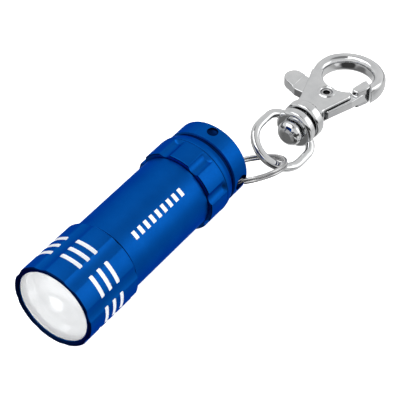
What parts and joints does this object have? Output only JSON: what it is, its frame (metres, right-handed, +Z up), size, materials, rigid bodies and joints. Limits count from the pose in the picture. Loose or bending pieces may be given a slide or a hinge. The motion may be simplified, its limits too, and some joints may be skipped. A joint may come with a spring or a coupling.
{
  "type": "keychain flashlight",
  "caption": "Keychain flashlight with a fluted aluminium head and tail cap, a recessed tail push button, and a swivel trigger hook on a split ring.",
  "frame": {"origin": "middle of the object's footprint on the surface that it lies on", "axes": "+X along the torch from the lens to the tail and the hook, +Z up"},
  "size_m": [0.1112, 0.0254, 0.0199],
  "materials": {
    "anodised_blue": "satin-gloss blue anodised, with bare turned rings on the head",
    "clear_lens": "clear polished",
    "black_rubber": "matte moulded",
    "reflector_mirror": "vacuum metallised",
    "led_epoxy": "glossy clear epoxy over a pale yellow die",
    "white_plastic": "moulded",
    "black_plastic": "moulded",
    "brass": "turned",
    "cell_steel": "nickel plated",
    "spring_steel": "bright nickel plated wire",
    "chrome_plate": "plated die casting, lightly tumbled",
    "pin_steel": "plain"
  },
  "bodies": {
    "barrel": {"body_tube": "anodised_blue", "front_o_ring": "black_rubber", "rear_o_ring": "black_rubber", "battery_sleeve": "white_plastic", "cell_1": "cell_steel", "cell_2": "cell_steel", "cell_3": "cell_steel", "cell_4": "cell_steel"},
    "optics": {"lens": "clear_lens", "lens_seal": "black_rubber", "reflector": "reflector_mirror", "led": "led_epoxy", "led_board": "white_plastic", "led_holder": "brass", "front_contact_spring": "brass"},
    "head": {"head_shell": "anodised_blue"},
    "switch": {"switch_body": "black_plastic", "rear_contact_spring": "brass"},
    "tail": {"tail_cap": "anodised_blue"},
    "button": {"push_button": "black_rubber", "switch_plunger": "white_plastic"},
    "ring": {"split_ring": "spring_steel"},
    "bail": {"swivel_bail": "chrome_plate"},
    "hook": {"hook_body": "chrome_plate", "swivel_post": "chrome_plate", "trigger_pin": "pin_steel"},
    "lever": {"trigger": "chrome_plate"}
  },
  "joints": [
    {"name": "head_travel", "type": "slide", "parent": "barrel", "child": "optics", "axis": [-1, 0, 0], "range_m": [0, 0.0031]},
    {"name": "head_turn", "type": "hinge", "parent": "optics", "child": "head", "pos_m": [-0.05517, 0.0028, 0.00995], "axis": [-1, 0, 0], "range_deg": [0, 1080]},
    {"name": "cap_travel", "type": "slide", "parent": "barrel", "child": "switch", "axis": [1, 0, 0], "range_m": [0, 0.0031]},
    {"name": "cap_turn", "type": "hinge", "parent": "switch", "child": "tail", "pos_m": [-0.05517, 0.0028, 0.00995], "axis": [1, 0, 0], "range_deg": [0, 1080]},
    {"name": "button_press", "type": "slide", "parent": "tail", "child": "button", "axis": [-1, 0, 0], "range_m": [0, 0.0012], "stiffness_N_per_m": 300, "springref_m": -0.0003},
    {"name": "ring_swing", "type": "hinge", "parent": "tail", "child": "ring", "pos_m": [-0.00008, -0.00606, 0.00825], "axis": [0.4461, -0.8532, 0.2701], "range_deg": [-6, 35]},
    {"name": "bail_swing", "type": "hinge", "parent": "ring", "child": "bail", "pos_m": [0.01553, -0.00535, 0.0039], "axis": [0.1691, 0.8814, -0.4412], "range_deg": [-45, 45]},
    {"name": "hook_swivel", "type": "hinge", "parent": "bail", "child": "hook", "pos_m": [0.02813, -0.0038, 0.00485], "axis": [1, 0, 0], "continuous": true},
    {"name": "trigger_open", "type": "hinge", "parent": "hook", "child": "lever", "pos_m": [0.03913, -0.0039, 0.00485], "axis": [0, 0, 1], "range_deg": [0, 26], "stiffness_Nm_per_rad": 0.002, "springref_deg": -20.05}
  ],
  "couplings": [
    {"joint": "head_travel", "follows": "head_turn", "m_per_rad": 0.00015915},
    {"joint": "cap_travel", "follows": "cap_turn", "m_per_rad": 0.00015915}
  ]
}
